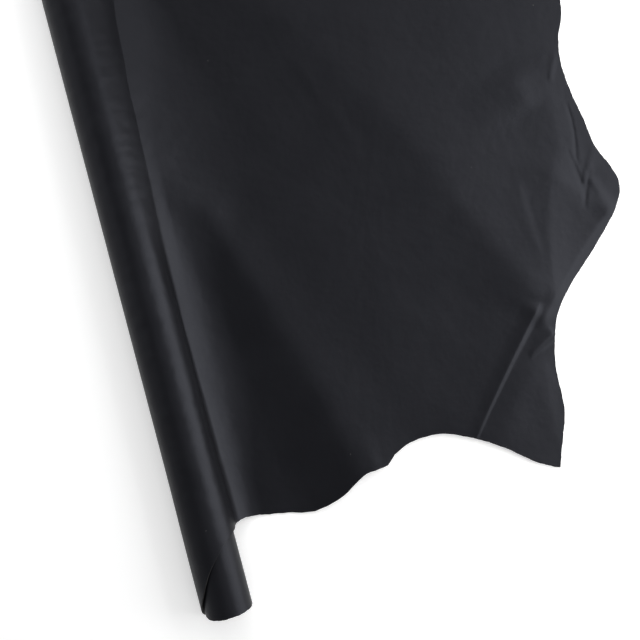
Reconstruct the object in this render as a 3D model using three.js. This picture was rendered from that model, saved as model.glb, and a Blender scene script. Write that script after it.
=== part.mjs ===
// A double leather shoulder: the front of one hide, with both shoulders and the neck in a single piece of leather.
// It lies on the floor with one side wound into a roll and the other side spread out flat beside it. The grain is
// outside on the roll and uppermost on the spread side, so the leather comes down off the top of the roll.
// Millimetres. x runs across the hide from the roll to the free edge, y from the neck to the butt cut, z is up.
import * as THREE from "three";

// Driving dimensions.
const THICKNESS = 2.0;
const LENGTH = 1000; // along the spine, from the neck to the butt cut
const ROLL_TOP_ACROSS = 165; // the top of the roll lies this far across the leather from the spine
const ROLLED_END_ACROSS = -717; // the leather ends in the core of the roll this far past the spine
const TOP_RADIUS = 36.3; // from the axis of the roll to the middle of the leather at the top
const TURN_STEP = 3.0; // each turn lies this far inside the one around it: the leather and a gap
const LOOSE_AFTER = 3.6; // turns, after which the core springs inwards
const LOOSENESS = 1.8;
const NECK_SLACK = { size: 1.2, from: 50, over: 200 }; // the outer turn stands off at the neck, and less farther up
const FLAT_SPOT_ANGLE = THREE.MathUtils.degToRad(10); // half of the angle that the roll's flat bottom takes up

// How finely the leather is faceted. Narrow facets follow the sharp crease on both of its sides.
const FACETS_PER_TURN = 36;
const ROLL_ROWS = { outer: 4, inner: 1 };
const SPREAD_ROWS = 34;
const CREASE_MARGIN = 30;
const CREASE_NEAR = 8;
const CREASE_FALL = 5; // width of the crease's steep side

const TURN = 2 * Math.PI;
const HALF = THICKNESS / 2;
const AXIS_HEIGHT = (TOP_RADIUS - TURN_STEP / 2 + HALF) * Math.cos(FLAT_SPOT_ANGLE);

// The cut outline of the hide laid flat. It is the same on both sides of the spine, and across is measured from it.
const NECK_EDGE = [
  { across: 0, y: 7 },
  { across: 50, y: 0 },
  { across: 87, y: 4 },
  { across: 112, y: 15 },
  { across: 133, y: 34 },
  { across: 157, y: 71 },
  { across: 186, y: 103 },
  { across: 222, y: 118.6 },
  { across: 262, y: 124.9 },
  { across: 313, y: 116.8 },
  { across: 359, y: 108.6 },
  { across: 398, y: 117.6 },
  { across: 442, y: 141.7 },
  { across: 476, y: 147 },
  { across: 493, y: 160 },
  { across: 528, y: 171.7 },
  { across: 578, y: 165.8 },
  { across: 646, y: 128.1 },
  { across: 685, y: 95.8 },
  { across: 717, y: 79 },
];
const FREE_EDGE = [
  { y: 79, across: 717 },
  { y: 126, across: 733.8 },
  { y: 160, across: 745.1 },
  { y: 215, across: 746 },
  { y: 265, across: 754.5 },
  { y: 312, across: 777.2 },
  { y: 369, across: 835.8 },
  { y: 411, across: 877.3 },
  { y: 440, across: 895.8 },
  { y: 460, across: 899.9 },
  { y: 480, across: 893.6 },
  { y: 519, across: 873 },
  { y: 613, across: 852.4 },
  { y: 650, across: 851 },
  { y: 684, across: 855.7 },
  { y: 715, across: 869.6 },
  { y: 770, across: 874 },
  { y: LENGTH, across: 853 },
];
// The sharp crease runs up from the neck edge, and the line of facets that follows it goes on to the butt cut.
const CREASE_LINE = [
  { y: 152, across: 611 },
  { y: 230, across: 672 },
  { y: 311, across: 739 },
  { y: 356, across: 765 },
  { y: 400, across: 774 },
  { y: 520, across: 764 },
  { y: LENGTH, across: 749 },
];

// How the leather comes down off the roll: tilts in degrees where one stretch ends and the next begins, and radii of
// the stretches. It leaves the roll, bulges out to its steepest tilt, bends back to the tilt of its foot, and sweeps
// on to the floor in two arcs.
const DESCENT = [
  { y: 0, leave: 82, steepest: 88, foot: 34, flare: 24, bend: 22, near: 65, far: 62 },
  { y: 174, leave: 82, steepest: 88, foot: 34, flare: 24, bend: 22, near: 65, far: 62 },
  { y: 217, leave: 82, steepest: 88, foot: 34, flare: 23, bend: 19, near: 88, far: 78 },
  { y: 274, leave: 82, steepest: 88, foot: 34, flare: 25, bend: 19, near: 78, far: 115 },
  { y: 346, leave: 80, steepest: 87, foot: 36, flare: 27, bend: 14, near: 88, far: 115 },
  { y: 417, leave: 77, steepest: 86, foot: 40, flare: 26, bend: 10, near: 82, far: 110 },
  { y: 488, leave: 68, steepest: 82, foot: 40, flare: 24, bend: 16, near: 72, far: 150 },
  { y: 560, leave: 53, steepest: 62, foot: 41, flare: 22, bend: 20, near: 60, far: 300 },
  { y: 631, leave: 47, steepest: 59, foot: 34, flare: 21, bend: 14, near: 82, far: 330 },
  { y: 688, leave: 42, steepest: 58, foot: 33, flare: 20, bend: 8, near: 90, far: 370 },
  { y: 745, leave: 42, steepest: 58, foot: 31, flare: 18, bend: 6, near: 170, far: 280 },
  { y: 802, leave: 41, steepest: 57, foot: 29, flare: 20, bend: 6, near: 245, far: 175 },
  { y: 859, leave: 41, steepest: 57, foot: 29, flare: 19, bend: 6, near: 230, far: 125 },
  { y: 920, leave: 40, steepest: 56, foot: 28, flare: 19, bend: 6, near: 200, far: 90 },
  { y: LENGTH, leave: 40, steepest: 56, foot: 28, flare: 19, bend: 6, near: 200, far: 90 },
];

// Soft folds that lift the leather. Each is a ridge along a line that goes up the hide from "from" to "to" and bows
// towards the free edge at its middle. Its top is rounded over the length "crest". Its height, its width towards the
// roll, its width towards the free edge and the length over which it fades past the end are given at both ends.
const FOLDS = {
  swell: {
    bow: 16,
    crest: 34,
    from: { across: 445, y: 130, height: 9.5, rollSide: 128, edgeSide: 380, fade: 80 },
    to: { across: 276, y: 595, height: 1.2, rollSide: 40, edgeSide: 300, fade: 50 },
  },
  swellFall: {
    bow: 16,
    crest: 24,
    from: { across: 440, y: 130, height: 7, rollSide: 128, edgeSide: 100, fade: 80 },
    to: { across: 276, y: 600, height: 1.6, rollSide: 40, edgeSide: 56, fade: 100 },
  },
  swellEnd: {
    bow: 0,
    crest: 4,
    from: { across: 363, y: 423, height: 0.6, rollSide: 26, edgeSide: 40, fade: 50 },
    to: { across: 304, y: 560, height: 3.4, rollSide: 30, edgeSide: 85, fade: 30 },
  },
  middleSwell: {
    bow: 8,
    crest: 12,
    from: { across: 730, y: 360, height: 6.2, rollSide: 130, edgeSide: 115, fade: 70 },
    to: { across: 461, y: 842, height: 2.4, rollSide: 140, edgeSide: 220, fade: 200 },
  },
  crease: {
    bow: -1.6,
    crest: 1.6,
    from: { across: 611, y: 152, height: 1.4, rollSide: 18, edgeSide: 4.4, fade: 20 },
    to: { across: 736, y: 307, height: 3, rollSide: 30, edgeSide: 10.5, fade: 15 },
  },
  creaseRise: {
    bow: 0,
    crest: 12,
    from: { across: 636, y: 122, height: 6.8, rollSide: 150, edgeSide: 240, fade: 40 },
    to: { across: 744, y: 280, height: 5.6, rollSide: 160, edgeSide: 200, fade: 90 },
  },
  shoulderEdge: {
    bow: -4,
    crest: 5,
    from: { across: 749, y: 300, height: 2.8, rollSide: 150, edgeSide: 19, fade: 30 },
    to: { across: 869, y: 418, height: 3.6, rollSide: 200, edgeSide: 26, fade: 30 },
  },
  shoulderBreak: {
    bow: -3,
    crest: 4,
    from: { across: 769, y: 330, height: 3.6, rollSide: 110, edgeSide: 56, fade: 30 },
    to: { across: 803, y: 490, height: 1.8, rollSide: 110, edgeSide: 70, fade: 50 },
  },
  edgeRise: {
    bow: 0,
    crest: 10,
    from: { across: 818, y: 500, height: 1.6, rollSide: 80, edgeSide: 50, fade: 50 },
    to: { across: 822, y: 640, height: 1.4, rollSide: 80, edgeSide: 40, fade: 40 },
  },
};

// A smooth curve through the rows of a table. Each stretch is a cubic that leaves its rows along the line between
// their neighbours.
function curveThrough(rows, key, value) {
  const slopes = rows.map((row, i) => {
    const before = rows[Math.max(i - 1, 0)];
    const after = rows[Math.min(i + 1, rows.length - 1)];
    return (after[value] - before[value]) / (after[key] - before[key]);
  });
  return (at) => {
    let i = 0;
    while (i < rows.length - 2 && at > rows[i + 1][key]) i += 1;
    const width = rows[i + 1][key] - rows[i][key];
    const t = THREE.MathUtils.clamp((at - rows[i][key]) / width, 0, 1);
    const start = (1 + 2 * t) * (1 - t) ** 2 * rows[i][value] + t * (1 - t) ** 2 * width * slopes[i];
    const end = t * t * (3 - 2 * t) * rows[i + 1][value] - t * t * (1 - t) * width * slopes[i + 1];
    return start + end;
  };
}
const halfNeckEdge = curveThrough(NECK_EDGE, "across", "y");
const neckEdge = (across) => halfNeckEdge(Math.abs(across));
const freeEdge = curveThrough(FREE_EDGE, "y", "across");
const creaseLine = curveThrough(CREASE_LINE, "y", "across");
const descentColumn = Object.fromEntries(
  Object.keys(DESCENT[0]).slice(1).map((name) => [name, curveThrough(DESCENT, "y", name)]),
);

// Goes smoothly from 1 to 0 as the share goes from 0 to 1.
function rounded(share) {
  return (1 + Math.cos(Math.PI * THREE.MathUtils.clamp(share, 0, 1))) / 2;
}

// The roll is a spiral, followed by the angle turned from its top, down its far side and inwards. Beyond the top,
// where the leather comes off, the angle is negative. The run is the length of leather from the top of the roll,
// positive towards the free edge.
const SPIRAL = TURN_STEP / TURN / 2;
function runAt(turned) {
  return turned * (SPIRAL * turned - TOP_RADIUS);
}
function turnedAt(run) {
  return (TOP_RADIUS - Math.sqrt(Math.max(TOP_RADIUS ** 2 + 4 * SPIRAL * run, 0))) / (2 * SPIRAL);
}
function rollRadius(turned, y) {
  const turns = turned / TURN;
  const spring = LOOSENESS * Math.max(0, turns - LOOSE_AFTER) ** 2;
  const slack = NECK_SLACK.size * rounded(turns) * rounded((y - NECK_SLACK.from) / NECK_SLACK.over);
  return TOP_RADIUS - TURN_STEP * turns - spring - sinkAt(turned) + slack;
}
// How far the floor presses the outer turn in. Every turn inside it gives way as much.
function sinkAt(turned) {
  const down = -Math.cos(turned);
  if (down <= 0) return 0;
  const outerTurn = TOP_RADIUS - TURN_STEP * THREE.MathUtils.euclideanModulo(turned / TURN, 1);
  return Math.max(0, outerTurn - (AXIS_HEIGHT - HALF) / down);
}

// The stretches of the way down at one distance from the neck, from the roll out: four arcs and the floor, each with
// the run, x, z and tilt at its start. The first arc curves the other way, so its radius is negative, and it is such
// that the last arc ends on the floor.
function descentAt(y) {
  const at = Object.fromEntries(Object.entries(descentColumn).map(([name, curve]) => [name, curve(y)]));
  const tilts = [at.leave, at.steepest, at.foot, at.flare, 0].map(THREE.MathUtils.degToRad);
  const cosines = tilts.map(Math.cos);
  const sines = tilts.map(Math.sin);
  const radius = rollRadius(-tilts[0], y);
  let run = runAt(-tilts[0]);
  let x = radius * sines[0];
  let z = AXIS_HEIGHT + radius * cosines[0];
  const later = [at.bend, at.near, at.far];
  const laterFall = later.reduce((fall, r, i) => fall + r * (cosines[i + 2] - cosines[i + 1]), 0);
  const bulge = (z - HALF - laterFall) / (cosines[1] - cosines[0]);
  const stretches = [bulge, ...later].map((r, i) => {
    const stretch = { run, x, z, tilt: tilts[i], radius: r };
    run += r * (tilts[i] - tilts[i + 1]);
    x += r * (sines[i] - sines[i + 1]);
    z -= r * (cosines[i + 1] - cosines[i]);
    return stretch;
  });
  return [...stretches, { run, x, z: HALF, tilt: 0 }];
}

// Where the middle of the leather is, before its folds, in a cut across the roll, and how steeply it comes down.
function sectionAt(across, y) {
  const run = across - ROLL_TOP_ACROSS;
  const stretch = descentAt(y).findLast((candidate) => run >= candidate.run);
  if (!stretch) {
    const turned = turnedAt(run);
    const radius = rollRadius(turned, y);
    return { x: -radius * Math.sin(turned), z: AXIS_HEIGHT + radius * Math.cos(turned), tilt: -turned };
  }
  const gone = run - stretch.run;
  if (!stretch.radius) return { x: stretch.x + gone, z: stretch.z, tilt: 0 };
  const tilt = stretch.tilt - gone / stretch.radius;
  return {
    x: stretch.x + stretch.radius * (Math.sin(stretch.tilt) - Math.sin(tilt)),
    z: stretch.z - stretch.radius * (Math.cos(tilt) - Math.cos(stretch.tilt)),
    tilt,
  };
}

// A ridge across its line: 1 at the line and 0 at its width, steepest beside its rounded crest.
function ridge(distance, width, crest) {
  if (distance >= width) return 0;
  return (1 - (Math.hypot(distance, crest) - crest) / (Math.hypot(width, crest) - crest)) ** 2;
}
function foldHeight({ bow, crest, from, to }, across, y) {
  const length = Math.hypot(to.across - from.across, to.y - from.y);
  const lean = (to.across - from.across) / length;
  const climb = (to.y - from.y) / length;
  const along = (across - from.across) * lean + (y - from.y) * climb;
  const t = THREE.MathUtils.clamp(along / length, 0, 1);
  const aside = (across - from.across) * climb - (y - from.y) * lean - bow * 4 * t * (1 - t);
  const between = (name) => THREE.MathUtils.lerp(from[name], to[name], t);
  const width = between(aside > 0 ? "edgeSide" : "rollSide");
  const pastEnd = Math.max(-along, along - length, 0);
  const fade = along < 0 ? from.fade : to.fade;
  return between("height") * ridge(Math.abs(aside), width, crest) * rounded(pastEnd / fade);
}

// The middle of the leather, lifted by its folds at right angles to the leather, and from its two slopes the points
// on its grain and flesh sides.
function middleAt(across, y) {
  const { x, z, tilt } = sectionAt(across, y);
  if (across < ROLL_TOP_ACROSS) return new THREE.Vector3(x, y, z);
  const lift = Object.values(FOLDS).reduce((sum, fold) => sum + foldHeight(fold, across, y), 0);
  return new THREE.Vector3(x + lift * Math.sin(tilt), y, z + lift * Math.cos(tilt));
}
function pairAt(across, y) {
  const step = 0.5;
  const slopeAcross = middleAt(across + step, y).sub(middleAt(across - step, y));
  const slopeAlong = middleAt(across, y + step).sub(middleAt(across, y - step));
  const normal = slopeAcross.cross(slopeAlong).normalize();
  const grain = middleAt(across, y).addScaledVector(normal, HALF);
  const flesh = middleAt(across, y).addScaledVector(normal, -HALF);
  for (const side of [grain, flesh]) {
    side.y = y;
    side.z = Math.max(side.z, 0);
  }
  return { grain, flesh };
}

// Columns of the rolled side, from the core outwards, each from the neck edge to the butt cut.
function rolledColumns() {
  const columns = [];
  const step = TURN / FACETS_PER_TURN;
  const end = turnedAt(ROLLED_END_ACROSS - ROLL_TOP_ACROSS);
  for (let turned = Math.floor(end / step) * step; turned > step / 2; turned -= step) {
    const across = ROLL_TOP_ACROSS + runAt(turned);
    const rows = turned > TURN ? ROLL_ROWS.inner : ROLL_ROWS.outer;
    const column = [];
    for (let row = 0; row <= rows; row += 1) {
      column.push(pairAt(across, THREE.MathUtils.lerp(neckEdge(across), LENGTH, row / rows)));
    }
    columns.push(column);
  }
  return columns;
}

// Lines that run the length of the spread side, and how many columns lie between each and the one before it.
const GUIDES = [
  { columns: 0, line: () => ROLL_TOP_ACROSS },
  { columns: 6, line: (y) => ROLL_TOP_ACROSS + descentAt(y)[0].run },
  { columns: 3, line: (y) => ROLL_TOP_ACROSS + descentAt(y)[1].run },
  { columns: 3, line: (y) => ROLL_TOP_ACROSS + descentAt(y)[2].run },
  { columns: 2, line: (y) => ROLL_TOP_ACROSS + descentAt(y)[3].run },
  { columns: 4, line: (y) => ROLL_TOP_ACROSS + descentAt(y)[4].run },
  { columns: 16, line: (y) => creaseLine(y) - CREASE_MARGIN },
  { columns: 2, line: (y) => creaseLine(y) - CREASE_NEAR },
  { columns: 2, line: creaseLine },
  { columns: 1, line: (y) => creaseLine(y) + CREASE_FALL },
  { columns: 8, line: freeEdge },
];
// Where a line meets the neck edge, found by going back and forth between the two curves until they agree.
function startOf(line) {
  let y = NECK_EDGE.at(-1).y;
  for (let i = 0; i < 30; i += 1) y = neckEdge(line(y));
  return y;
}
// A column at a share of the way from one guide to the next. Its foot is drawn on to the neck edge.
function columnBetween(left, right, share) {
  const leftStart = startOf(left.line);
  const rightStart = startOf(right.line);
  const startAcross = THREE.MathUtils.lerp(left.line(leftStart), right.line(rightStart), share);
  const shift = neckEdge(startAcross) - THREE.MathUtils.lerp(leftStart, rightStart, share);
  const column = [];
  for (let row = 0; row <= SPREAD_ROWS; row += 1) {
    const leftY = THREE.MathUtils.lerp(leftStart, LENGTH, row / SPREAD_ROWS);
    const rightY = THREE.MathUtils.lerp(rightStart, LENGTH, row / SPREAD_ROWS);
    const across = THREE.MathUtils.lerp(left.line(leftY), right.line(rightY), share);
    const y = THREE.MathUtils.lerp(leftY, rightY, share) + (1 - row / SPREAD_ROWS) * shift;
    column.push(pairAt(across, y));
  }
  return column;
}
function spreadColumns() {
  const columns = [columnBetween(GUIDES[0], GUIDES[0], 0)];
  for (let i = 1; i < GUIDES.length; i += 1) {
    const count = GUIDES[i].columns;
    for (let k = 1; k <= count; k += 1) columns.push(columnBetween(GUIDES[i - 1], GUIDES[i], k / count));
  }
  return columns;
}

// Joins the columns into one closed shell: the grain side, the flesh side, and the cut edge all round.
function shellOf(columns) {
  const points = [];
  const faces = [];
  const starts = columns.map((column) => {
    const start = points.length;
    for (const { grain, flesh } of column) points.push(grain, flesh);
    return start;
  });
  const grain = (i, row) => starts[i] + 2 * row;
  const flesh = (i, row) => starts[i] + 2 * row + 1;
  const quad = (a, b, c, d) => faces.push(a, b, c, a, c, d);
  const lastRow = (i) => columns[i].length - 1;
  const lastColumn = columns.length - 1;
  for (let i = 0; i < lastColumn; i += 1) {
    // Steps up whichever column is behind, so that columns with different numbers of points still join.
    let here = 0;
    let next = 0;
    while (here < lastRow(i) || next < lastRow(i + 1)) {
      if ((here + 1) / lastRow(i) < (next + 1) / lastRow(i + 1)) {
        faces.push(grain(i, here), grain(i + 1, next), grain(i, here + 1));
        faces.push(flesh(i, here), flesh(i, here + 1), flesh(i + 1, next));
        here += 1;
      } else {
        faces.push(grain(i, here), grain(i + 1, next), grain(i + 1, next + 1));
        faces.push(flesh(i, here), flesh(i + 1, next + 1), flesh(i + 1, next));
        next += 1;
      }
    }
    quad(flesh(i, 0), flesh(i + 1, 0), grain(i + 1, 0), grain(i, 0));
    quad(grain(i, here), grain(i + 1, next), flesh(i + 1, next), flesh(i, here));
  }
  for (let row = 0; row < lastRow(0); row += 1) {
    quad(grain(0, row), grain(0, row + 1), flesh(0, row + 1), flesh(0, row));
  }
  for (let row = 0; row < lastRow(lastColumn); row += 1) {
    quad(flesh(lastColumn, row), flesh(lastColumn, row + 1), grain(lastColumn, row + 1), grain(lastColumn, row));
  }
  const geometry = new THREE.BufferGeometry().setFromPoints(points);
  geometry.setIndex(faces);
  geometry.computeVertexNormals();
  return geometry;
}

const leather = new THREE.MeshStandardMaterial({ color: 0x141417, roughness: 0.4, metalness: 0 });
const hide = new THREE.Mesh(shellOf([...rolledColumns(), ...spreadColumns()]), leather);
hide.name = "shoulder_hide";

// The origin is on the floor, under the middle of the whole piece.
hide.geometry.computeBoundingBox();
const middle = hide.geometry.boundingBox.getCenter(new THREE.Vector3());
hide.position.set(-middle.x, -middle.y, 0);

const part = new THREE.Group();
part.add(hide);
export default part;
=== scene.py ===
"""A black leather double shoulder, one side wound into a roll and the other spread flat beside it."""

import bpy
import numpy as np
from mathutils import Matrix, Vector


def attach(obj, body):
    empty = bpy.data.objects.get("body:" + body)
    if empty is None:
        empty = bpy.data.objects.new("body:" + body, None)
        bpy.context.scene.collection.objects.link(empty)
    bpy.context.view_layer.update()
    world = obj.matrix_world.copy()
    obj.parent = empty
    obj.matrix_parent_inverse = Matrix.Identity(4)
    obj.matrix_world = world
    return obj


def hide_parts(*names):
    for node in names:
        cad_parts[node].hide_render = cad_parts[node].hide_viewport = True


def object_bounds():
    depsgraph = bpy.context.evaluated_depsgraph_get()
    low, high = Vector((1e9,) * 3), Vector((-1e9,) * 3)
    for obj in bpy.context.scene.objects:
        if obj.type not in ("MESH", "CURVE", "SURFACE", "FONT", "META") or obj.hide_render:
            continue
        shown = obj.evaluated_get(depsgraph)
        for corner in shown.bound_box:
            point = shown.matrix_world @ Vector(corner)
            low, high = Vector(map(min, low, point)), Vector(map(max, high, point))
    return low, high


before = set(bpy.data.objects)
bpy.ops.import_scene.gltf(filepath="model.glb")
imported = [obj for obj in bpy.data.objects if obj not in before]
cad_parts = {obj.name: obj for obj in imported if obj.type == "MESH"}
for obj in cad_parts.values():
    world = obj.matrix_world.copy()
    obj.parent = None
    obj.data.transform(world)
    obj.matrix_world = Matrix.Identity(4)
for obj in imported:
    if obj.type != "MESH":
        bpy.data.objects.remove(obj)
cad_low, cad_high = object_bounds()


# ---- Camera ------------------------------------------------------------------------------------------------
# It hangs over the spread leather and looks straight down, turned so that the roll leans to the left of the
# view. Its place is measured from the axis of the roll and from the neck's end of the hide, which lies one
# length of the hide below the butt cut, the straight edge at the top of the view.

LENGTH = 1.000  # of the hide, from the neck to the butt cut
ROLL_REACH = 0.03757  # from the axis of the roll to its far side
AXIS_X = cad_low.x + ROLL_REACH
NECK_Y = cad_high.y - LENGTH
CAMERA_FROM_AXIS = 0.2314
CAMERA_FROM_NECK = 0.3738
CAMERA_HEIGHT = 2.200
CAMERA_TURN = np.radians(14.74)

camera = bpy.data.objects.new("camera", bpy.data.cameras.new("camera"))
bpy.context.collection.objects.link(camera)
camera.location = (AXIS_X + CAMERA_FROM_AXIS, NECK_Y + CAMERA_FROM_NECK, CAMERA_HEIGHT)
camera.rotation_euler = (0, 0, -CAMERA_TURN)
camera.data.sensor_width = 36
camera.data.lens = 85.3
bpy.context.scene.camera = camera


# ---- The hide, as it was cut -------------------------------------------------------------------------------
# One piece of full grain leather, 2 mm thick: both shoulders and the neck of one hide, cut straight at the
# butt and left uneven round the neck and the forelegs. "Across" is measured over the leather from the
# spine, "along" from the neck to the butt cut. The outline is the same on both sides of the spine.

THICKNESS = 0.0020
HALF = THICKNESS / 2
ROLL_TOP_ACROSS = 0.165  # the top of the roll lies this far across the leather from the spine
ROLLED_END_ACROSS = -0.717  # the leather ends in the core of the roll this far past the spine

NECK_EDGE = [  # across, along
    (0.000, 0.0070), (0.050, 0.0000), (0.087, 0.0040), (0.112, 0.0150), (0.133, 0.0340), (0.157, 0.0710),
    (0.186, 0.1030), (0.222, 0.1186), (0.262, 0.1249), (0.313, 0.1168), (0.359, 0.1086), (0.398, 0.1176),
    (0.442, 0.1417), (0.476, 0.1470), (0.493, 0.1600), (0.528, 0.1717), (0.578, 0.1658), (0.646, 0.1281),
    (0.685, 0.0958), (0.717, 0.0790),
]
FREE_EDGE = [  # along, across
    (0.079, 0.7170), (0.126, 0.7338), (0.160, 0.7451), (0.215, 0.7460), (0.265, 0.7545), (0.312, 0.7772),
    (0.369, 0.8358), (0.411, 0.8773), (0.440, 0.8958), (0.460, 0.8999), (0.480, 0.8936), (0.519, 0.8730),
    (0.613, 0.8524), (0.650, 0.8510), (0.684, 0.8557), (0.715, 0.8696), (0.770, 0.8740), (1.000, 0.8530),
]
KNIFE_WAVER = 0.0009  # the unevenness of the cut
# The waver stops just short of the corner between the two edges, so that they meet there.
WAVER_END_ACROSS = 0.714
WAVER_START_ALONG = 0.085


def curve_through(rows, at):
    """A smooth curve through rows of (place, value). Between two rows it is the cubic with t from 0 to 1,
    (1 + 2t)(1 - t)^2 a + t^2 (3 - 2t) b + t (1 - t)^2 w p - t^2 (1 - t) w q, where a and b are the two
    values, w is the distance between the rows, and p and q are the slopes between each row's neighbours."""
    place, value = np.array(rows, float).T
    before = np.maximum(np.arange(len(place)) - 1, 0)
    after = np.minimum(np.arange(len(place)) + 1, len(place) - 1)
    slope = (value[after] - value[before]) / (place[after] - place[before])
    i = np.clip(np.searchsorted(place, at, side="right") - 1, 0, len(place) - 2)
    w = place[i + 1] - place[i]
    t = np.clip((at - place[i]) / w, 0, 1)
    ends = (1 + 2 * t) * (1 - t) ** 2 * value[i] + t * t * (3 - 2 * t) * value[i + 1]
    return ends + t * (1 - t) ** 2 * w * slope[i] - t * t * (1 - t) * w * slope[i + 1]


def waver(at):
    """The unevenness of a knife cut in soft leather: the sum of four sines, each with its own wavelength,
    share of the size, and phase."""
    waves = [(0.0610, 0.40, 0.3), (0.0233, 0.25, 1.9), (0.0097, 0.20, 4.1), (0.0041, 0.15, 2.6)]
    sines = [share * np.sin(2 * np.pi * at / length + phase) for length, share, phase in waves]
    return KNIFE_WAVER * sum(sines)


def neck_edge(across):
    """Along at the neck edge: the outline's curve at the distance from the spine, plus the cut's waver."""
    distance = np.abs(across)
    return curve_through(NECK_EDGE, distance) + waver(across) * (distance < WAVER_END_ACROSS)


def free_edge(along):
    """Across at the free edge: the outline's curve, plus the cut's waver."""
    return curve_through(FREE_EDGE, along) + waver(along) * (along > WAVER_START_ALONG)


# ---- The hide, as it lies ----------------------------------------------------------------------------------
# The leather comes off the top of the roll, runs down its side, bends sharply where it turns outwards, and
# sweeps on to the floor. A run is a length of leather from the top of the roll, growing to the free edge.

TOP_RADIUS = 0.0363  # from the axis to the middle of the leather at the top of the roll
TURN_STEP = 0.0030  # each turn lies this far inside the one around it
LOOSE_AFTER = 3.6  # turns, after which the core springs inwards
LOOSENESS = 0.0018  # by which it has sprung in after one more turn
NECK_SLACK = 0.0012  # by which the outer turn stands off at the neck
SLACK_FROM, SLACK_LENGTH = 0.05, 0.20  # along: where it starts to fade, and how far on it is gone
FLAT_SPOT_ANGLE = np.radians(10)  # half of the angle that the roll's flat bottom takes up
TURN = 2 * np.pi
SPIRAL = TURN_STEP / TURN / 2
AXIS_HEIGHT = (TOP_RADIUS - TURN_STEP / 2 + HALF) * np.cos(FLAT_SPOT_ANGLE)

# How the leather comes down, at places along the roll: tilts in degrees where one stretch ends and the next
# begins, and radii of the stretches in metres. It leaves the roll, bulges out to its steepest tilt, bends
# back to the tilt of its foot, and sweeps to the floor in two arcs.
DESCENT_COLUMNS = ("along", "leave", "steepest", "foot", "flare", "bend", "near", "far")
DESCENT = [
    (0.000, 82, 88, 34, 24, 0.022, 0.065, 0.062),
    (0.174, 82, 88, 34, 24, 0.022, 0.065, 0.062),
    (0.217, 82, 88, 34, 23, 0.019, 0.088, 0.078),
    (0.274, 82, 88, 34, 25, 0.019, 0.078, 0.115),
    (0.346, 80, 87, 36, 27, 0.014, 0.088, 0.115),
    (0.417, 77, 86, 40, 26, 0.010, 0.082, 0.110),
    (0.488, 68, 82, 40, 24, 0.016, 0.072, 0.150),
    (0.560, 53, 62, 41, 22, 0.020, 0.060, 0.300),
    (0.631, 47, 59, 34, 21, 0.014, 0.082, 0.330),
    (0.688, 42, 58, 33, 20, 0.008, 0.090, 0.370),
    (0.745, 42, 58, 31, 18, 0.006, 0.170, 0.280),
    (0.802, 41, 57, 29, 20, 0.006, 0.245, 0.175),
    (0.859, 41, 57, 29, 19, 0.006, 0.230, 0.125),
    (0.920, 40, 56, 28, 19, 0.006, 0.200, 0.090),
    (1.000, 40, 56, 28, 19, 0.006, 0.200, 0.090),
]


def rounded(share):
    """(1 + cos(pi s)) / 2 of a share from 0 to 1, which goes smoothly from 1 to 0."""
    return (1 + np.cos(np.pi * np.clip(share, 0, 1))) / 2


def run_at(turned):
    """The run to an angle turned into the roll: the integral of the spiral's radius, taken inwards."""
    return turned * (SPIRAL * turned - TOP_RADIUS)


def turned_at(run):
    """The angle turned at a run: the root of the quadratic that run_at gives."""
    return (TOP_RADIUS - np.sqrt(np.maximum(TOP_RADIUS**2 + 4 * SPIRAL * run, 0))) / (2 * SPIRAL)


def roll_radius(turned, along):
    """The spiral's radius: the top's, less a step for each turn, less the spring of the core, which grows
    as the square of the turns past where it starts, less what the floor presses in at the bottom of every
    turn. The outer turn stands off towards the neck by a rounded hump of the turn and of the way along."""
    turns = turned / TURN
    loose = rounded(turns) * rounded((along - SLACK_FROM) / SLACK_LENGTH)
    spring = LOOSENESS * np.maximum(0, turns - LOOSE_AFTER) ** 2
    down = -np.cos(turned)
    outer_turn = TOP_RADIUS - TURN_STEP * np.mod(turns, 1)
    pressed = np.maximum(0, outer_turn - (AXIS_HEIGHT - HALF) / np.maximum(down, 1e-6)) * (down > 0)
    return TOP_RADIUS - TURN_STEP * turns - spring - pressed + NECK_SLACK * loose


def descent(along):
    """The stretches of the way down, from the roll out: four arcs and the floor. Each is (run, x, z, tilt,
    radius) at its start. Along an arc that starts at tilt a, x has grown by r (sin a - sin b) and z has
    fallen by r (cos b - cos a) where the tilt is b, after a length r (a - b). The first arc curves the
    other way, so its r is negative; it is such that the last arc ends on the floor."""
    rows = np.array(DESCENT)
    columns = {name: curve_through(rows[:, [0, i]], along) for i, name in enumerate(DESCENT_COLUMNS)}
    tilts = [np.radians(columns[name]) for name in ("leave", "steepest", "foot", "flare")] + [0 * along]
    radius = roll_radius(-tilts[0], along)
    run, x, z = run_at(-tilts[0]), radius * np.sin(tilts[0]), AXIS_HEIGHT + radius * np.cos(tilts[0])
    radii = [columns["bend"], columns["near"], columns["far"]]
    later = sum(r * (np.cos(b) - np.cos(a)) for r, a, b in zip(radii, tilts[1:], tilts[2:]))
    bulge = (z - HALF - later) / (np.cos(tilts[1]) - np.cos(tilts[0]))
    stretches = []
    for r, a, b in zip([bulge, *radii], tilts, tilts[1:]):
        stretches.append((run, x, z, a, r))
        run, x, z = run + r * (a - b), x + r * (np.sin(a) - np.sin(b)), z - r * (np.cos(b) - np.cos(a))
    return stretches + [(run, x, z, tilts[-1], None)]


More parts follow.
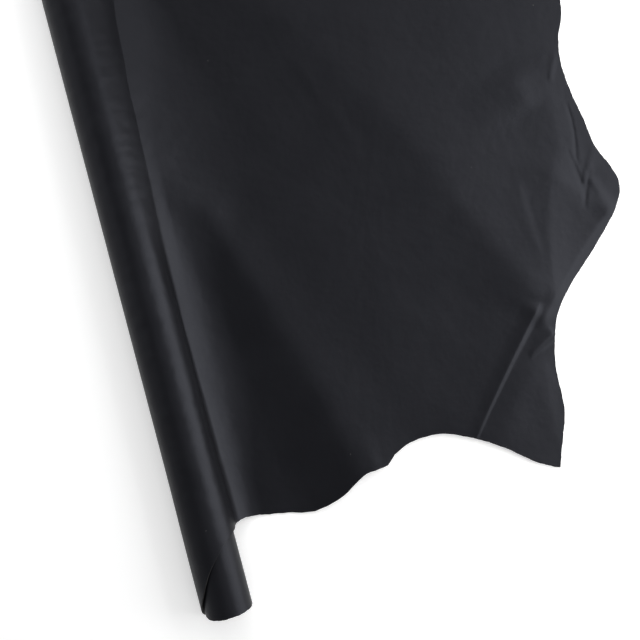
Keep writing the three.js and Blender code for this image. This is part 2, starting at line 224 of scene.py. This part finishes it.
def section(across, along):
    """x from the roll's axis, z and the tilt of the middle of the leather: on the spiral x = -r sin(turned)
    and z = axis + r cos(turned), and past it whichever stretch of the descent the run has reached."""
    run = across - ROLL_TOP_ACROSS
    turned = turned_at(run)
    radius = roll_radius(turned, along)
    x, z, tilt = -radius * np.sin(turned), AXIS_HEIGHT + radius * np.cos(turned), -turned
    for start, x0, z0, tilt0, r in descent(along):
        gone = run - start
        if r is None:
            here = x0 + gone * np.cos(tilt0), z0 - gone * np.sin(tilt0), tilt0
        else:
            now = tilt0 - gone / r
            here = x0 + r * (np.sin(tilt0) - np.sin(now)), z0 - r * (np.cos(now) - np.cos(tilt0)), now
        x, z, tilt = (np.where(gone >= 0, new, old) for new, old in zip(here, (x, z, tilt)))
    return x, z, tilt


# Folds that lift the leather off the floor, in millimetres. Each is a ridge along a line from one (across,
# along) to another, and the line bows towards the free edge at its middle. "Crest" is how far from the line
# the top is rounded over. The rest are pairs for the two ends: height, width on the roll's side, width on
# the free edge's side, and length of fading past the end. A negative height makes a groove.
FOLDS = {  # start, end, bow, crest, height, roll side, edge side, fade
    # the broad swell beside the foot of the roll, its steeper fall and its end, and the low one further out
    "swell": ((445, 130), (276, 595), 16, 34, (9.5, 1.2), (128, 40), (380, 300), (80, 50)),
    "swell_fall": ((440, 130), (276, 600), 16, 24, (7, 1.6), (128, 40), (100, 56), (80, 100)),
    "swell_end": ((363, 423), (304, 560), 0, 4, (0.6, 3.4), (26, 30), (40, 85), (50, 30)),
    "middle_swell": ((461, 842), (730, 360), 8, 12, (2.4, 6.2), (140, 130), (220, 115), (200, 70)),
    # the sharp crease by the neck edge, the rise that carries it, and the short one beyond its pocket
    "crease": ((611, 152), (736, 307), -1.6, 1.6, (1.4, 3), (18, 30), (4.4, 10.5), (20, 15)),
    "crease_rise": ((636, 122), (744, 280), 0, 12, (6.8, 5.6), (150, 160), (240, 200), (40, 90)),
    "short_crease": ((719, 249), (752, 267), 0, 1.6, (1.3, 2.9), (14, 26), (5, 7), (8, 8)),
    # where the shoulder's point is drawn down to the floor, and the rise along the free edge
    "shoulder_edge": ((869, 418), (749, 300), -4, 5, (3.6, 2.8), (200, 150), (26, 19), (30, 30)),
    "shoulder_break": ((803, 490), (769, 330), -3, 4, (1.8, 3.6), (110, 110), (70, 56), (50, 30)),
    "shoulder_line": ((755, 480), (760, 410), 0, 3, (0.6, 0.5), (50, 40), (12, 12), (20, 50)),
    "edge_rise": ((822, 640), (818, 500), 0, 10, (1.4, 1.6), (80, 80), (40, 50), (40, 50)),
    # wrinkles of the shoulder's point
    "long_groove": ((845, 579), (845, 508), 1.5, 1, (-0.5, -0.8), (6, 6), (4, 4), (12, 12)),
    "low_groove": ((836, 512), (848, 452), 2, 1.5, (-0.4, -0.6), (8, 9), (5, 5), (12, 14)),
    "fork": ((868, 510), (852, 474), 0, 1, (0.6, 1.2), (4, 6), (14, 18), (12, 8)),
    "fork_groove": ((860, 482), (845, 442), 0, 1, (-0.6, -0.6), (6, 7), (5, 6), (6, 12)),
    "point_ridge": ((862, 468), (879, 418), 0, 3, (1, 2.2), (10, 32), (14, 12), (10, 12)),
    # the pinch higher up at the free edge, and the puff beside it
    "pinch": ((842, 654), (831, 630), 0, 2, (0.8, 0.7), (14, 6), (8, 9), (14, 10)),
    "puff": ((777, 632), (781, 614), 0, 14, (3.2, 3.2), (130, 130), (46, 46), (34, 34)),
    # faint ones in the middle, at the neck edge and beside the free edge
    "faint_wrinkle": ((491, 719), (527, 621), 0, 4, (0.5, 0.5), (22, 22), (12, 12), (40, 40)),
    "neck_lift": ((460, 140), (455, 178), 0, 4, (1, 0.6), (20, 20), (14, 14), (10, 30)),
    "edge_lift": ((722, 128), (727, 222), 0, 10, (0.6, 0.6), (50, 50), (22, 22), (30, 20)),
}


def ridge(distance, width, crest):
    """The square of 1 - g(distance) / g(width), with g(d) = sqrt(d^2 + crest^2) - crest. It is steepest
    beside the rounded crest and runs out level at the width."""
    past_crest = np.hypot(np.minimum(distance, width), crest) - crest
    return (1 - past_crest / (np.hypot(width, crest) - crest)) ** 2


def folds(across, along):
    """Height of all folds: the sum of each one's height times its ridge of the distance from the bowed
    line, times its rounded fading past the ends."""
    total = np.zeros_like(across)
    for fold in FOLDS.values():
        start, end, bow, crest, height, roll_side, edge_side, fade = (np.divide(part, 1000) for part in fold)
        reach = end - start
        length = np.hypot(*reach)
        lean, climb = reach / length
        forward = (across - start[0]) * lean + (along - start[1]) * climb
        t = np.clip(forward / length, 0, 1)
        aside = (across - start[0]) * climb - (along - start[1]) * lean
        aside = aside * np.sign(climb) - bow * 4 * t * (1 - t)
        sides = [pair[0] + (pair[1] - pair[0]) * t for pair in (roll_side, edge_side)]
        width = np.where(aside > 0, sides[1], sides[0])
        past = np.maximum(-forward, forward - length) / np.where(forward < 0, *fade)
        tall = height[0] + (height[1] - height[0]) * t
        total += tall * ridge(np.abs(aside), width, crest) * rounded(past)
    return total


def middle(across, along):
    """The middle of the leather: the section at that place, lifted by the folds at right angles to it."""
    x, z, tilt = section(across, along)
    lift = folds(across, along)
    return np.stack([AXIS_X + x + lift * np.sin(tilt), NECK_Y + along, z + lift * np.cos(tilt)], -1)


def grain_normal(across, along):
    """Unit normal on the grain side: the cross product of the two slopes, each from points 0.25 mm to
    either side."""
    step = 0.00025
    slope_across = middle(across + step, along) - middle(across - step, along)
    slope_along = middle(across, along + step) - middle(across, along - step)
    normal = np.cross(slope_across, slope_along)
    return normal / np.linalg.norm(normal, axis=-1, keepdims=True)


# The leather is a grid of columns that run along it, in three stretches: the inner turns, the outer turn,
# and the spread side. Rows are shares of the way from the neck edge to the butt cut. A row close to each
# cut edge keeps the shading of the flat surface true up to the edge.
INNER_ROWS, OUTER_ROWS, SPREAD_ROWS = 3, 48, 210
INNER_FACET, OUTER_FACET = np.radians(5), np.radians(3.6)  # the turn from one column to the next
OUTER_TURNED = TURN * 1.1  # the outer turn's finer grid goes on a little way under itself
EDGE_BAND = 0.0006
EDGE_BULGE = 0.00035  # of the rounded cut edge, past the flat surface
EDGE_ROUNDNESS = 0.6  # exponent of the superellipse that the cut edge follows
CREASE_LINE = [  # along, across: the sharp crease, and the way on from it to the butt cut
    (0.152, 0.611), (0.230, 0.672), (0.311, 0.739), (0.356, 0.765), (0.400, 0.774), (0.520, 0.764),
    (1.000, 0.749),
]
BESIDE_CREASE, CLOSE_TO_CREASE = 0.030, 0.008  # how far before the crease the columns get closer
PAST_CREASE = 0.1  # share of the way from the crease to the free edge with closer columns


def row_shares(count):
    """Even shares from 0 to 1 with one more just inside each end."""
    even = np.linspace(0, 1, count + 1)
    return np.concatenate([[0, EDGE_BAND], even[1:-1], [1 - EDGE_BAND, 1]])


def rolled_columns(turned, shares):
    """Columns at constant angles of the roll: across is the spiral's run there, along goes evenly from the
    neck edge to the butt cut."""
    across = ROLL_TOP_ACROSS + run_at(turned)[:, None] + 0 * shares
    start = neck_edge(across[:, :1])
    return across, start + (LENGTH - start) * shares


# Guide lines of the spread side, each with the number of columns between it and the guide before it.
GUIDES = [
    (0, lambda along: ROLL_TOP_ACROSS + 0 * along),
    (10, lambda along: ROLL_TOP_ACROSS + descent(along)[0][0]),
    (9, lambda along: ROLL_TOP_ACROSS + descent(along)[1][0]),
    (7, lambda along: ROLL_TOP_ACROSS + descent(along)[2][0]),
    (9, lambda along: ROLL_TOP_ACROSS + descent(along)[3][0]),
    (10, lambda along: ROLL_TOP_ACROSS + descent(along)[4][0]),
    (46, lambda along: curve_through(CREASE_LINE, along) - BESIDE_CREASE),
    (8, lambda along: curve_through(CREASE_LINE, along) - CLOSE_TO_CREASE),
    (9, lambda along: curve_through(CREASE_LINE, along)),
    (9, lambda along: curve_through(CREASE_LINE, along) * (1 - PAST_CREASE) + free_edge(along) * PAST_CREASE),
    (56, free_edge),
]


def spread_columns(shares):
    """Columns between the guide lines: each guide starts where it meets the neck edge, found by going back
    and forth between the two curves, and a column lies at a share of the way between its two guides. Its
    start is drawn on to the neck edge, by a shift that fades out towards the butt cut."""
    across, along = [], []
    for _, line in GUIDES:
        start = np.array([0.1])
        for _ in range(40):
            start = neck_edge(line(start))
        along.append(start + (LENGTH - start) * shares)
        across.append(line(along[-1]))
    across, along = np.array(across), np.array(along)
    counts = np.array([count for count, _ in GUIDES[1:]])
    place = np.concatenate([i + np.arange(1, n + 1) / n for i, n in enumerate(counts)])
    place = np.insert(place, -1, len(counts) - EDGE_BAND)
    i = np.minimum(place.astype(int), len(counts) - 1)
    share = (place - i)[:, None]
    across = across[i] + (across[i + 1] - across[i]) * share
    along = along[i] + (along[i + 1] - along[i]) * share
    return across, along + (neck_edge(across[:, :1]) - along[:, :1]) * (1 - shares)


last_turned = turned_at(ROLLED_END_ACROSS - ROLL_TOP_ACROSS)
inner_shares, outer_shares, spread_shares = map(row_shares, (INNER_ROWS, OUTER_ROWS, SPREAD_ROWS))
stretches = [
    (inner_shares, *rolled_columns(np.arange(last_turned, OUTER_TURNED, -INNER_FACET), inner_shares)),
    (outer_shares, *rolled_columns(np.arange(OUTER_TURNED, -1e-9, -OUTER_FACET), outer_shares)),
    (spread_shares, *spread_columns(spread_shares)),
]
across = np.concatenate([part.ravel() for _, part, _ in stretches])
along = np.concatenate([part.ravel() for _, _, part in stretches])
columns = [shares for shares, part, _ in stretches for _ in part]  # of every column, the shares of its rows
column_sizes = np.array([len(shares) for shares in columns])
lasts = np.cumsum(column_sizes) - 1  # of every column, the number of its last point
firsts = lasts - column_sizes + 1


def ladder(left, right):
    """Triangles between two neighbouring columns given by their shares: the rungs of both are put in order,
    and each closes a triangle with the point that the other column has reached. Returns (column, row) for
    three corners."""
    rungs = np.concatenate([left[1:], right[1:]])
    side = np.repeat([0, 1], [len(left) - 1, len(right) - 1])
    side = side[np.argsort(rungs, kind="stable")]
    on_left, on_right = np.cumsum(side == 0), np.cumsum(side == 1)
    before_left, before_right = on_left - (side == 0), on_right - (side == 1)
    stepped = np.where(side == 0, on_left, on_right)
    return np.stack([0 * side, before_left, 0 * side + 1, before_right, side, stepped], -1).reshape(-1, 3, 2)


def surface_faces():
    """Faces of one side as corner lists: quads between columns that have the same rows, and a ladder
    between two that don't."""
    quads, triangles = [], []
    for first, after, left, right in zip(firsts, firsts[1:], columns, columns[1:]):
        if len(left) == len(right):
            rows = np.arange(len(left) - 1)
            quads.append(np.stack([first + rows, after + rows, after + rows + 1, first + rows + 1], -1))
        else:
            corners = ladder(left, right)
            triangles.append(np.where(corners[..., 0] == 0, first, after) + corners[..., 1])
    return np.concatenate(quads), np.concatenate(triangles)


def rim_loop():
    """Numbers of the points on the cut edge, once round: the neck edge, the free edge, the butt cut and the
    end in the core of the roll."""
    neck, free = firsts, np.arange(firsts[-1] + 1, lasts[-1])
    butt, end = lasts[::-1], np.arange(lasts[0] - 1, firsts[0], -1)
    return np.concatenate([neck, free, butt, end])


def rim_outward(loop, points, normals):
    """Directions out of the leather at the cut edge: along the edge, from the point before to the point
    after, crossed with the grain normal."""
    edge = points[np.roll(loop, -1)] - points[np.roll(loop, 1)]
    outward = np.cross(edge, normals[loop])
    return outward / np.linalg.norm(outward, axis=-1, keepdims=True)


centre_points = middle(across, along)
normals = grain_normal(across, along)
grain = centre_points + HALF * normals
flesh = centre_points - HALF * normals
loop = rim_loop()
outward = rim_outward(loop, centre_points, normals)
# The cut edge is a little rounded: its points lie on a superellipse, at these angles from its widest point.
rim_angles = np.radians([52, 18, -18, -52])
rims = [
    centre_points[loop] + HALF * np.sign(np.sin(a)) * abs(np.sin(a)) ** EDGE_ROUNDNESS * normals[loop]
    + EDGE_BULGE * np.cos(a) ** EDGE_ROUNDNESS * outward
    for a in rim_angles
]
points = np.concatenate([grain, flesh, *rims])
points[:, 2] = np.maximum(points[:, 2], 0)

count = len(grain)
rings = [loop, *(2 * count + len(loop) * i + np.arange(len(loop)) for i in range(len(rims))), loop + count]
quads, triangles = surface_faces()
rim_quads = np.concatenate([
    np.stack([upper, lower, np.roll(lower, -1), np.roll(upper, -1)], -1)
    for upper, lower in zip(rings, rings[1:])
])
face_groups = [quads, triangles, quads[:, ::-1] + count, triangles[:, ::-1] + count, rim_quads]
GRAIN_SIDE, FLESH_SIDE, CUT_EDGE = 0, 1, 2  # places of the finishes in the piece's list of materials
group_finishes = [GRAIN_SIDE, GRAIN_SIDE, FLESH_SIDE, FLESH_SIDE, CUT_EDGE]
face_finish = np.repeat(group_finishes, [len(group) for group in face_groups])
faces = [face for group in face_groups for face in group.tolist()]

hide_mesh = bpy.data.meshes.new("hide_leather")
hide_mesh.from_pydata(points.tolist(), [], faces)
hide_mesh.polygons.foreach_set("material_index", face_finish)
hide_mesh.polygons.foreach_set("use_smooth", np.ones(len(faces), bool))

# The hide carries its own flat measure as its UV map, so that markings follow the leather round the roll.
flat_measure = np.stack([across, along], -1)
flat_measure = np.concatenate([flat_measure, flat_measure, np.tile(flat_measure[loop], (len(rims), 1))])
corner_points = np.empty(len(hide_mesh.loops), int)
hide_mesh.loops.foreach_get("vertex_index", corner_points)
hide_mesh.uv_layers.new(name="cut").data.foreach_set("uv", flat_measure[corner_points].ravel())
hide_mesh.validate()

hide = bpy.data.objects.new("hide_leather", hide_mesh)
bpy.context.collection.objects.link(hide)
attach(hide, "root")
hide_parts("shoulder_hide")


# ---- Finish of the hide ------------------------------------------------------------------------------------
# Drum dyed black, with a fine natural grain under a satin top coat. The flesh side is a short charcoal nap,
# and the cut edge shows the packed fibre between the two.


def new_material(name):
    """A node material with its Principled shader, and a function that adds a node to it."""
    material = bpy.data.materials.new(name)
    material.use_nodes = True
    tree = material.node_tree

    def add(kind, inputs=(), **settings):
        node = tree.nodes.new(kind)
        for key, value in settings.items():
            setattr(node, key, value)
        for key, value in dict(inputs).items():
            if isinstance(value, bpy.types.NodeSocket):
                tree.links.new(value, node.inputs[key])
            else:
                node.inputs[key].default_value = value
        return node

    return material, tree, tree.nodes["Principled BSDF"], add


def steps_of(add):
    """The steps that the finishes share: a noise, a mix of two colours (sockets 6 and 7 of a colour mix,
    result 2), a value spread from one range to another, and a relief laid over another."""

    def noise(vector, scale, detail, roughness=0.5):
        inputs = {"Vector": vector, "Scale": scale, "Detail": detail, "Roughness": roughness}
        return add("ShaderNodeTexNoise", inputs)

    def mix(share, one, other):
        return add("ShaderNodeMix", {0: share, 6: one, 7: other}, data_type="RGBA").outputs[2]

    def spread(value, start, end, low=0.0, high=1.0, way="LINEAR"):
        inputs = {"Value": value, "From Min": start, "From Max": end, "To Min": low, "To Max": high}
        return add("ShaderNodeMapRange", inputs, interpolation_type=way).outputs[0]

    def relief(height, strength, depth, over=None):
        inputs = {"Height": height, "Strength": strength, "Distance": depth}
        if over is not None:
            inputs["Normal"] = over
        return add("ShaderNodeBump", inputs).outputs[0]

    return noise, mix, spread, relief


def grain_leather():
    """Black grain: cells of about 1 mm set in by their borders, finer pores, shallow dents and a cloudy
    unevenness, as relief and as roughness. Two close blacks are mixed by the same clouds. Round the roll
    the leather is drawn into faint ripples across its length, and a few specks of dust lie on it."""
    material, tree, shader, add = new_material("black_grain")
    noise, mix, spread, relief = steps_of(add)
    place = add("ShaderNodeTexCoord").outputs["Object"]
    cut = add("ShaderNodeUVMap", uv_map="cut").outputs[0]

    def product(one, other):
        return add("ShaderNodeMath", {0: one, 1: other}, operation="MULTIPLY").outputs[0]

    # the cells, whose borders wander by up to half a millimetre
    drift = noise(place, 260, 2).outputs["Color"]
    drift = add("ShaderNodeVectorMath", {0: drift, 1: (0.5, 0.5, 0.5)}, operation="SUBTRACT").outputs[0]
    wander = {0: drift, 1: (0.0009, 0.0009, 0.0009), 2: place}
    drifted = add("ShaderNodeVectorMath", wander, operation="MULTIPLY_ADD").outputs[0]
    cells = add("ShaderNodeTexVoronoi", {"Vector": drifted, "Scale": 850}, feature="DISTANCE_TO_EDGE")
    borders = spread(cells.outputs["Distance"], 0.0, 0.22)
    pores = noise(place, 2600, 2).outputs["Fac"]
    clouds = noise(place, 15, 4, 0.48).outputs["Fac"]
    dents = noise(place, 65, 2).outputs["Fac"]

    # the ripples, longer across than along, from the top of the roll to its foot
    stretched = add("ShaderNodeVectorMath", {0: cut, 1: (36, 62, 1)}, operation="MULTIPLY").outputs[0]
    across_leather = add("ShaderNodeSeparateXYZ", {0: cut}).outputs[0]
    from_top = spread(across_leather, 0.10, 0.15, way="SMOOTHSTEP")
    to_foot = spread(across_leather, 0.29, 0.19, way="SMOOTHSTEP")
    ripples = product(noise(stretched, 1, 0).outputs["Fac"], product(from_top, to_foot))

    # the dust: a speck in the middle of about one cell in a hundred
    speck = add("ShaderNodeTexVoronoi", {"Vector": cut, "Scale": 42}, voronoi_dimensions="2D")
    chance = add("ShaderNodeSeparateXYZ", {0: speck.outputs["Color"]}).outputs[0]
    rare = add("ShaderNodeMath", {0: chance, 1: 0.991}, operation="GREATER_THAN").outputs[0]
    small = add("ShaderNodeMath", {0: speck.outputs["Distance"], 1: 0.019}, operation="LESS_THAN").outputs[0]
    black = mix(clouds, (0.0044, 0.0045, 0.0058, 1), (0.0066, 0.0067, 0.0083, 1))
    colour = mix(product(rare, small), black, (0.16, 0.16, 0.15, 1))
    tree.links.new(colour, shader.inputs["Base Color"])
    tree.links.new(spread(clouds, 0.3, 0.7, 0.355, 0.415), shader.inputs["Roughness"])

    surface = relief(clouds, 0.5, 0.002)
    surface = relief(dents, 0.8, 0.0005, surface)
    surface = relief(ripples, 1.0, 0.0010, surface)
    surface = relief(borders, 0.18, 0.00012, surface)
    surface = relief(pores, 0.12, 0.00005, surface)
    tree.links.new(surface, shader.inputs["Normal"])
    shader.inputs["IOR"].default_value = 1.325
    shader.inputs["Specular Tint"].default_value = (0.84, 0.87, 1.0, 1)
    return material


def flesh_suede():
    """Charcoal nap: two dark greys mixed by a fibrous noise, rough, with a faint sheen."""
    material, tree, shader, add = new_material("charcoal_flesh")
    noise, mix, _, relief = steps_of(add)
    nap = noise(add("ShaderNodeTexCoord").outputs["Object"], 900, 4).outputs["Fac"]
    grey = mix(nap, (0.012, 0.011, 0.011, 1), (0.034, 0.031, 0.029, 1))
    tree.links.new(grey, shader.inputs["Base Color"])
    tree.links.new(relief(nap, 0.6, 0.0003), shader.inputs["Normal"])
    shader.inputs["Roughness"].default_value = 0.95
    shader.inputs["Sheen Weight"].default_value = 0.15
    return material


def cut_edge():
    """The cut edge: packed fibre, dyed through, as a dark grey with darker flecks."""
    material, tree, shader, add = new_material("cut_edge")
    noise, mix, _, relief = steps_of(add)
    fibre = noise(add("ShaderNodeTexCoord").outputs["Object"], 1500, 3).outputs["Fac"]
    grey = mix(fibre, (0.004, 0.004, 0.005, 1), (0.016, 0.015, 0.016, 1))
    tree.links.new(grey, shader.inputs["Base Color"])
    tree.links.new(relief(fibre, 0.5, 0.0002), shader.inputs["Normal"])
    shader.inputs["Roughness"].default_value = 0.8
    return material


for finish in (grain_leather(), flesh_suede(), cut_edge()):
    hide_mesh.materials.append(finish)


# ---- Floor, light and surroundings -------------------------------------------------------------------------
# A pale floor under soft studio light: one large panel low on the free edge's side, and softer ones above
# and all round. Far from the hide the floor gives off its whole white itself, so that no end of it shows.

FLOOR_REACH = 20
FLOOR_Z = -0.0002
LIT_MIDDLE = (-0.25, -0.10, 0)  # of the part of the floor that holds the hide's shadow
LIT_REACH, WHITE_FROM = 0.80, 1.05  # from that middle
LIT_SHARE = 0.31  # of white, given off in the lit part

floor_mesh = bpy.data.meshes.new("floor")
corner_signs = [(-1, -1), (1, -1), (1, 1), (-1, 1)]
floor_corners = [(x * FLOOR_REACH, y * FLOOR_REACH, FLOOR_Z) for x, y in corner_signs]
floor_mesh.from_pydata(floor_corners, [], [(0, 1, 2, 3)])
floor = bpy.data.objects.new("floor", floor_mesh)
bpy.context.collection.objects.link(floor)


def pale_floor():
    """White paper that also gives off a share of white light to the camera, so that it shows white: a
    smaller share in the lit part near the hide, and the whole further off."""
    material, tree, shader, add = new_material("pale_floor")
    shader.inputs["Base Color"].default_value = (0.95, 0.95, 0.95, 1)
    shader.inputs["Roughness"].default_value = 0.9
    shader.inputs["Specular IOR Level"].default_value = 0.0
    shader.inputs["Emission Color"].default_value = (1, 1, 1, 1)
    place = add("ShaderNodeTexCoord").outputs["Object"]
    far = add("ShaderNodeVectorMath", {0: place, 1: LIT_MIDDLE}, operation="DISTANCE").outputs["Value"]
    _, _, spread, _ = steps_of(add)
    given = spread(far, LIT_REACH, WHITE_FROM, LIT_SHARE, 1.0, way="SMOOTHSTEP")
    path = add("ShaderNodeLightPath").outputs["Is Camera Ray"]
    share = add("ShaderNodeMath", {0: path, 1: given}, operation="MULTIPLY")
    tree.links.new(share.outputs[0], shader.inputs["Emission Strength"])
    return material


floor_mesh.materials.append(pale_floor())


def world_light():
    """Dim grey light from all round, and white to the camera."""
    world = bpy.data.worlds.new("studio")
    bpy.context.scene.world = world
    world.use_nodes = True
    tree = world.node_tree
    path = tree.nodes.new("ShaderNodeLightPath")
    mix = tree.nodes.new("ShaderNodeMix")
    mix.data_type = "RGBA"
    mix.inputs[6].default_value = (0.235, 0.235, 0.235, 1)
    mix.inputs[7].default_value = (1, 1, 1, 1)
    tree.links.new(path.outputs["Is Camera Ray"], mix.inputs[0])
    tree.links.new(mix.outputs[2], tree.nodes["Background"].inputs["Color"])


world_light()

# Places are from the roll's axis and the neck's end of the hide. A panel's length is a vector along its
# lower edge, which runs so that the panel shines on the hide.
PANELS = [  # name, middle of the lower edge, middle of the upper edge, length, radiance
    ("side_panel", (1.10, 0.25, 0.06), (0.81, 0.25, 1.01), (0, 1.10, 0), 2.99),
    ("side_reflector", (0.98, 1.20, 0.45), (0.74, 1.20, 1.25), (0, 0.80, 0), 1.05),
    ("ceiling", (0.20, 0.40, 2.60), (1.10, 0.40, 2.60), (0, -3.00, 0), 0.465),
    ("butt_panel", (0.30, 3.00, 0.90), (0.30, 2.60, 1.80), (-2.40, 0, 0), 5.85),
    ("neck_panel", (0.30, -2.00, 0.90), (0.30, -1.60, 1.80), (2.40, 0, 0), 1.04),
    ("left_panel", (-1.60, 1.40, 0.00), (-1.60, 1.40, 2.20), (0, -2.00, 0), 0.55),
    ("left_board", (-1.60, -0.40, 0.00), (-1.60, -0.40, 1.20), (0, -1.60, 0), 0.21),
    ("right_board", (3.30, 0.50, 0.00), (3.30, 0.50, 0.90), (0, 6.00, 0), 0.52),
]


def panel(name, lower, upper, length, radiance):
    """A soft panel that stands from its lower to its upper edge and shines against the cross product of its
    length and its rise. Its power is its radiance times pi times its area."""
    rise = np.subtract(upper, lower)
    light = bpy.data.lights.new(name, "AREA")
    light.shape = "RECTANGLE"
    light.size, light.size_y = np.linalg.norm(length), np.linalg.norm(rise)
    light.energy = radiance * np.pi * light.size * light.size_y
    lamp = bpy.data.objects.new(name, light)
    bpy.context.collection.objects.link(lamp)
    side, rise = length / np.linalg.norm(length), rise / np.linalg.norm(rise)
    turn = np.eye(4)
    turn[:3, 0], turn[:3, 1], turn[:3, 2] = side, rise, np.cross(side, rise)
    turn[:3, 3] = np.add(lower, upper) / 2 + (AXIS_X, NECK_Y, 0)
    lamp.matrix_world = Matrix(turn.tolist())
    lamp.visible_camera = False


for row in PANELS:
    panel(*row)

bpy.context.scene.view_settings.view_transform = "Standard"
